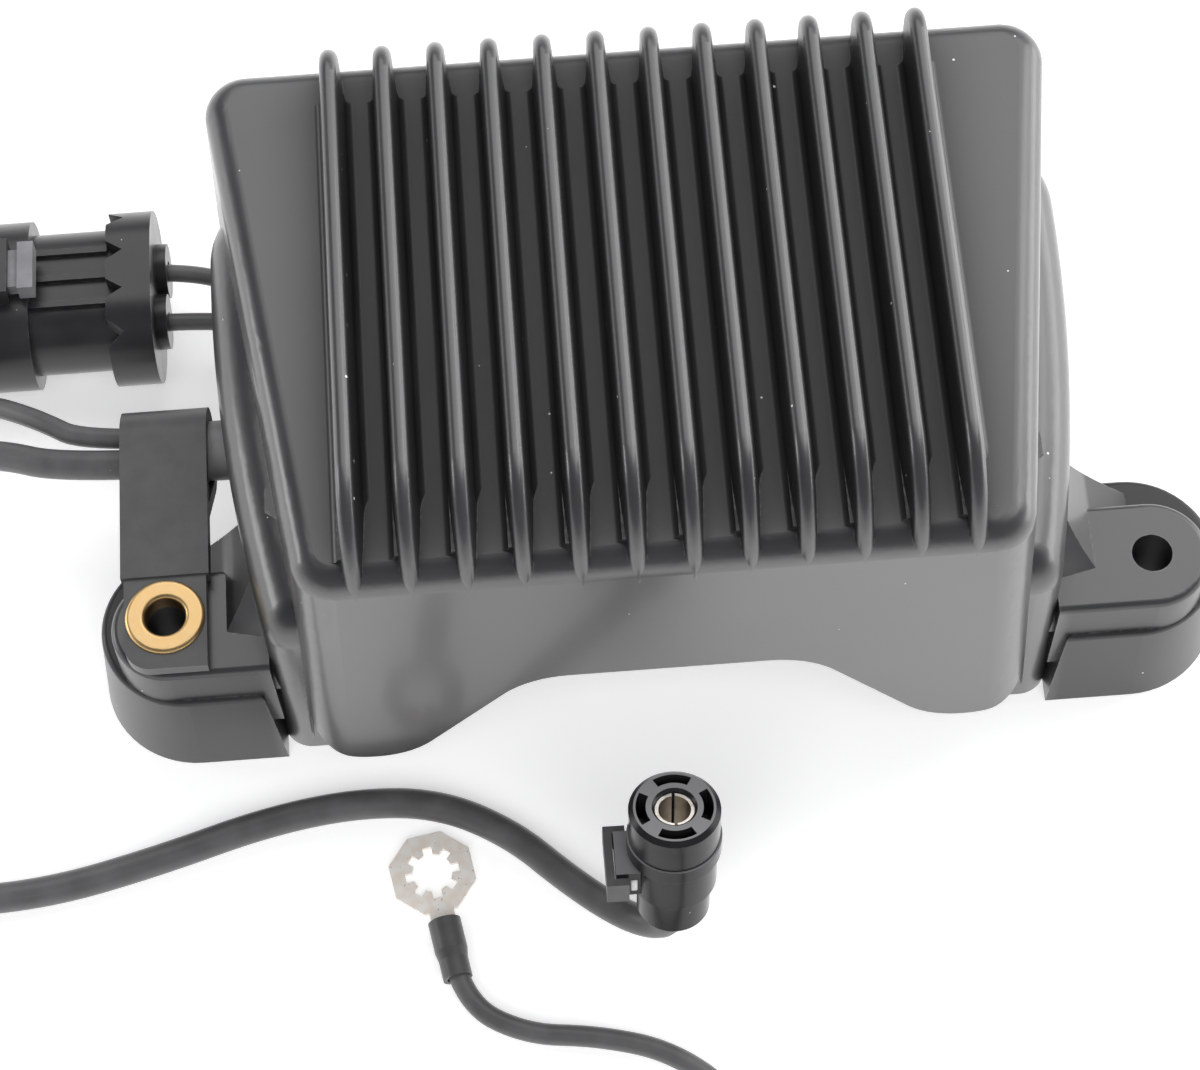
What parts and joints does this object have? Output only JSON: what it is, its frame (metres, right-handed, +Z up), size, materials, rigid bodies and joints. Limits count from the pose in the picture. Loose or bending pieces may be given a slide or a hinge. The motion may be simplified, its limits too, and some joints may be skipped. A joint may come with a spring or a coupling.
{
  "type": "voltage regulator rectifier",
  "caption": "Finned die-cast regulator rectifier with two mounting ears, a strap on one ear and leads that end in an oval connector, a round connector and a ring terminal.",
  "frame": {"origin": "on the mounting surface, below the middle of the casting", "axes": "+Z up out of the fins, +Y from the ears' front towards the back, along the fins, +X along the line of the bolt holes"},
  "size_m": [0.2786, 0.2034, 0.082],
  "materials": {
    "casting": "semi-gloss black",
    "potting": "cast, satin",
    "insulator": "thin grey sheet",
    "board": "green laminate",
    "device_case": "moulded, matt",
    "capacitor_can": "satin",
    "ceramic_film": "matt",
    "tube_jacket": "satin",
    "strap_coating": "black dip coat, satin",
    "shrink_sleeve": "satin",
    "eyelet_brass": "satin",
    "lead_jacket": "satin",
    "connector_black": "moulded",
    "connector_grey": "moulded",
    "connector_dark": "moulded",
    "seal_rubber": "soft",
    "tinned_terminal": "tinned, satin"
  },
  "bodies": {
    "root": {"housing": "casting", "potting_compound": "potting", "insulating_sheet": "insulator", "circuit_board": "board", "thyristor_a": "device_case", "thyristor_b": "device_case", "rectifier_diode_a": "device_case", "rectifier_diode_b": "device_case", "capacitor": "capacitor_can", "control_chip": "device_case", "resistor_array": "ceramic_film", "lead_tube": "tube_jacket", "cable_strap": "strap_coating", "strap_sleeve": "shrink_sleeve", "strap_eyelet": "eyelet_brass", "output_lead": "lead_jacket", "ground_lead": "lead_jacket", "stator_lead_a": "lead_jacket", "stator_lead_b": "lead_jacket", "oval_connector_housing": "connector_black", "oval_connector_lock": "connector_grey", "oval_connector_cap": "connector_black", "oval_connector_seal": "seal_rubber", "blade_terminal_a": "tinned_terminal", "blade_terminal_b": "tinned_terminal", "round_connector_housing": "connector_black", "round_connector_lock": "connector_dark", "round_connector_seal": "seal_rubber", "round_connector_socket": "tinned_terminal", "ring_terminal": "tinned_terminal", "ring_terminal_sleeve": "shrink_sleeve"}
  },
  "joints": []
}
